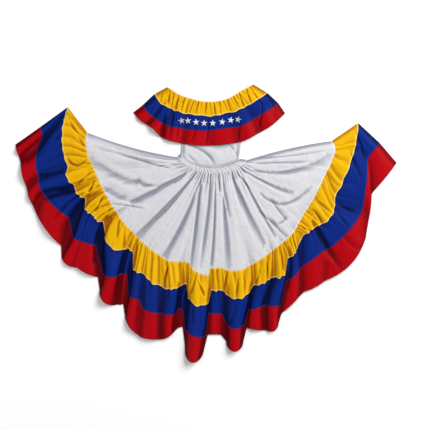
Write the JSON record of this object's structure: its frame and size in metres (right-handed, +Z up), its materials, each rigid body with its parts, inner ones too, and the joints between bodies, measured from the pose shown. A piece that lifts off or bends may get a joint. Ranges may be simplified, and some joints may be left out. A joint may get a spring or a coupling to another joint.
{
  "type": "venezuelan folk dress",
  "caption": "White folk dress laid flat, with an off-shoulder collar and a wide skirt flounce in yellow, blue and red bands and white stars on the collar",
  "frame": {"origin": "middle of the dress's outline on the surface that it lies on", "axes": "+X across the dress towards the right of the picture, +Y from the hem towards the neck, +Z up from the surface"},
  "size_m": [1.9071, 1.3881, 0.0456],
  "materials": {
    "white_poplin": "plain white poplin with a faint sheen, creased",
    "yellow_poplin": "golden yellow poplin, gathered",
    "blue_poplin": "royal blue poplin with a faint sheen",
    "red_poplin": "bright red poplin with a faint sheen",
    "star_white": "plain white sewn patch"
  },
  "bodies": {
    "root": {"waistband_front": "white_poplin", "skirt_front": "white_poplin", "bodice_front": "white_poplin", "flounce_yellow_front": "yellow_poplin", "flounce_blue_front": "blue_poplin", "flounce_red_front": "red_poplin", "collar_yellow_front": "yellow_poplin", "collar_blue_front": "blue_poplin", "collar_red_front": "red_poplin", "waistband_back": "white_poplin", "skirt_back": "white_poplin", "bodice_back": "white_poplin", "flounce_yellow_back": "yellow_poplin", "flounce_blue_back": "blue_poplin", "flounce_red_back": "red_poplin", "collar_yellow_back": "yellow_poplin", "collar_blue_back": "blue_poplin", "collar_red_back": "red_poplin", "star_1": "star_white", "star_2": "star_white", "star_3": "star_white", "star_4": "star_white", "star_5": "star_white", "star_6": "star_white", "star_7": "star_white", "star_8": "star_white"}
  },
  "joints": []
}
